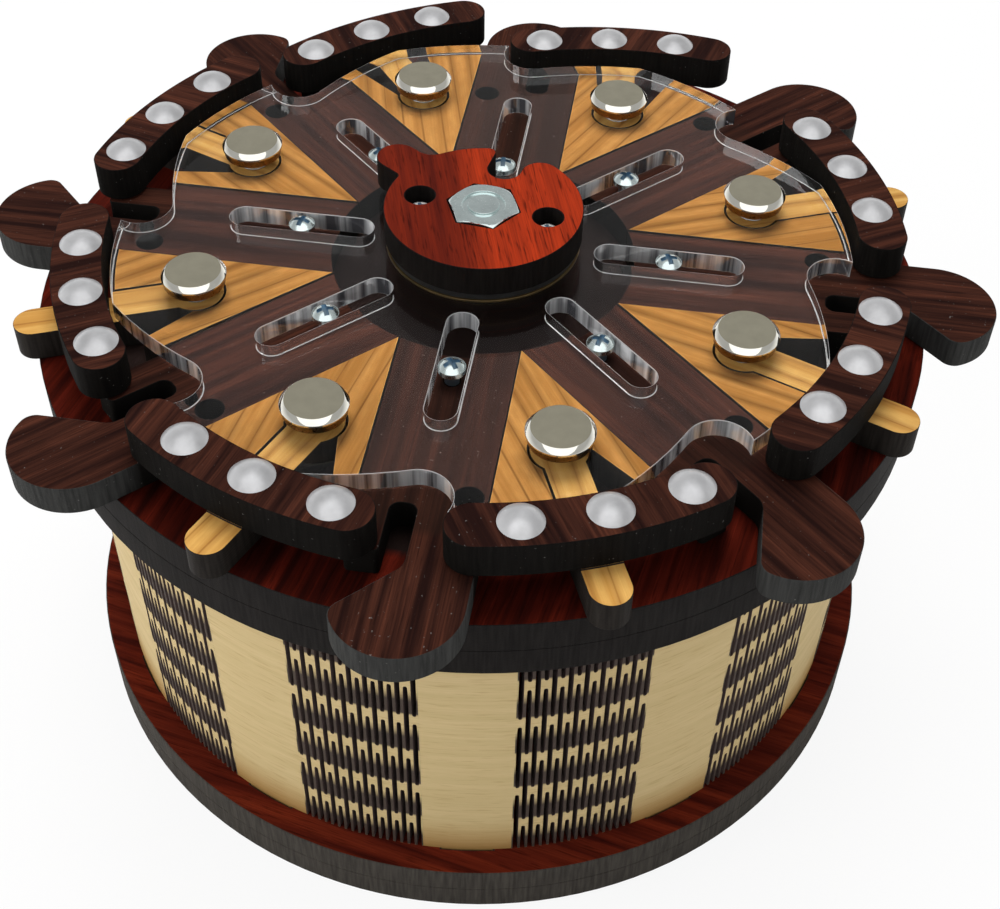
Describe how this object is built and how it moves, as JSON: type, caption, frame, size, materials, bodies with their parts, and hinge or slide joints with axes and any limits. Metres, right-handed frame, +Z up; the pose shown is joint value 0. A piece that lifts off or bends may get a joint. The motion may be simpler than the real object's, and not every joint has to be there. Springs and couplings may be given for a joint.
{
  "type": "wooden puzzle box",
  "caption": "Round wooden puzzle box with a slotted bent-plywood drum and a lid lock of push-pull sliders, swinging levers and a turning cam under clear acrylic.",
  "frame": {"origin": "centre of the underside of the base, on the axis of the drum", "axes": "+Z up through the centre bolt, -Y towards the slider nearest the viewer in the picture, +X to the right"},
  "size_m": [0.2092, 0.1989, 0.1163],
  "materials": {
    "redwood_plate": "oiled red-brown hardwood with laser-darkened edges",
    "pale_ply": "pale birch plywood, laser-browned edges",
    "maple": "honey-coloured maple, oiled",
    "dark_wood": "dark brown hardwood with reddish streaks, oiled",
    "orange_wood": "orange-red hardwood, oiled",
    "clear_acrylic": "clear polished acrylic sheet",
    "zinc_steel": "bright zinc-plated steel",
    "nickel": "nickel-plated, bright chamfer",
    "satin_aluminium": "satin",
    "brass": "polished",
    "black_plastic": "matt black"
  },
  "bodies": {
    "box": {"base_lower_disc": "redwood_plate", "base_upper_disc": "redwood_plate", "drum_staves": "pale_ply", "drum_hinges": "pale_ply", "rim_ring": "redwood_plate"},
    "lid": {"lid_plate": "redwood_plate", "maple_wedges": "maple", "acrylic_cover": "clear_acrylic", "pivot_posts": "zinc_steel", "disc_caps": "nickel", "hub_bush": "brass"},
    "cam": {"cam_plate": "orange_wood", "cam_spacer": "black_plastic", "brass_washer": "brass", "cam_screws": "zinc_steel", "centre_bolt": "zinc_steel", "lock_bar": "pale_ply", "bar_washer": "zinc_steel", "bar_nut": "zinc_steel"},
    "slider_1": {"slider_1": "dark_wood", "slider_screw_1": "zinc_steel"},
    "slider_2": {"slider_2": "dark_wood", "slider_screw_2": "zinc_steel"},
    "slider_3": {"slider_3": "dark_wood", "slider_screw_3": "zinc_steel"},
    "slider_4": {"slider_4": "dark_wood", "slider_screw_4": "zinc_steel"},
    "slider_5": {"slider_5": "dark_wood", "slider_screw_5": "zinc_steel"},
    "slider_6": {"slider_6": "dark_wood", "slider_screw_6": "zinc_steel"},
    "slider_7": {"slider_7": "dark_wood", "slider_screw_7": "zinc_steel"},
    "slider_8": {"slider_8": "dark_wood", "slider_screw_8": "zinc_steel"},
    "lever_1": {"finger_1": "maple", "arc_block_1": "dark_wood", "rivets_1": "satin_aluminium"},
    "lever_2": {"finger_2": "maple", "arc_block_2": "dark_wood", "rivets_2": "satin_aluminium"},
    "lever_3": {"finger_3": "maple", "arc_block_3": "dark_wood", "rivets_3": "satin_aluminium"},
    "lever_4": {"finger_4": "maple", "arc_block_4": "dark_wood", "rivets_4": "satin_aluminium"},
    "lever_5": {"finger_5": "maple", "arc_block_5": "dark_wood", "rivets_5": "satin_aluminium"},
    "lever_6": {"finger_6": "maple", "arc_block_6": "dark_wood", "rivets_6": "satin_aluminium"},
    "lever_7": {"finger_7": "maple", "arc_block_7": "dark_wood", "rivets_7": "satin_aluminium"},
    "lever_8": {"finger_8": "maple", "arc_block_8": "dark_wood", "rivets_8": "satin_aluminium"}
  },
  "joints": [
    {"name": "lid_lift", "type": "slide", "parent": "box", "child": "lid", "axis": [0, 0, 1], "range_m": [0, 0.05]},
    {"name": "cam_turn", "type": "hinge", "parent": "lid", "child": "cam", "pos_m": [0, 0, 0.11], "axis": [0, 0, 1], "continuous": true},
    {"name": "slider_1_push", "type": "slide", "parent": "lid", "child": "slider_1", "axis": [0, 1, 0], "range_m": [-0.012, 0.012]},
    {"name": "slider_2_push", "type": "slide", "parent": "lid", "child": "slider_2", "axis": [0.7071, -0.7071, 0], "range_m": [-0.012, 0.012]},
    {"name": "slider_3_push", "type": "slide", "parent": "lid", "child": "slider_3", "axis": [-1, 0, 0], "range_m": [-0.012, 0.012]},
    {"name": "slider_4_push", "type": "slide", "parent": "lid", "child": "slider_4", "axis": [0.7071, 0.7071, 0], "range_m": [0, 0.012]},
    {"name": "slider_5_push", "type": "slide", "parent": "lid", "child": "slider_5", "axis": [0, -1, 0], "range_m": [-0.0224, 0.0016]},
    {"name": "slider_6_push", "type": "slide", "parent": "lid", "child": "slider_6", "axis": [-0.7071, 0.7071, 0], "range_m": [0, 0.012]},
    {"name": "slider_7_push", "type": "slide", "parent": "lid", "child": "slider_7", "axis": [1, 0, 0], "range_m": [-0.012, 0.012]},
    {"name": "slider_8_push", "type": "slide", "parent": "lid", "child": "slider_8", "axis": [-0.7071, -0.7071, 0], "range_m": [-0.012, 0.012]},
    {"name": "lever_1_swing", "type": "hinge", "parent": "lid", "child": "lever_1", "pos_m": [0.02258, -0.05451, 0.0996], "axis": [0, 0, 1], "range_deg": [0, 27]},
    {"name": "lever_2_swing", "type": "hinge", "parent": "lid", "child": "lever_2", "pos_m": [0.05451, -0.02258, 0.0996], "axis": [0, 0, 1], "range_deg": [0, 27]},
    {"name": "lever_3_swing", "type": "hinge", "parent": "lid", "child": "lever_3", "pos_m": [0.05451, 0.02258, 0.0996], "axis": [0, 0, 1], "range_deg": [0, 27]},
    {"name": "lever_4_swing", "type": "hinge", "parent": "lid", "child": "lever_4", "pos_m": [0.02258, 0.05451, 0.0996], "axis": [0, 0, 1], "range_deg": [-27, 0]},
    {"name": "lever_5_swing", "type": "hinge", "parent": "lid", "child": "lever_5", "pos_m": [-0.02258, 0.05451, 0.0996], "axis": [0, 0, 1], "range_deg": [-14.5, 12.5]},
    {"name": "lever_6_swing", "type": "hinge", "parent": "lid", "child": "lever_6", "pos_m": [-0.05451, 0.02258, 0.0996], "axis": [0, 0, 1], "range_deg": [0, 27]},
    {"name": "lever_7_swing", "type": "hinge", "parent": "lid", "child": "lever_7", "pos_m": [-0.05451, -0.02258, 0.0996], "axis": [0, 0, 1], "range_deg": [0, 27]},
    {"name": "lever_8_swing", "type": "hinge", "parent": "lid", "child": "lever_8", "pos_m": [-0.02258, -0.05451, 0.0996], "axis": [0, 0, 1], "range_deg": [0, 27]}
  ]
}
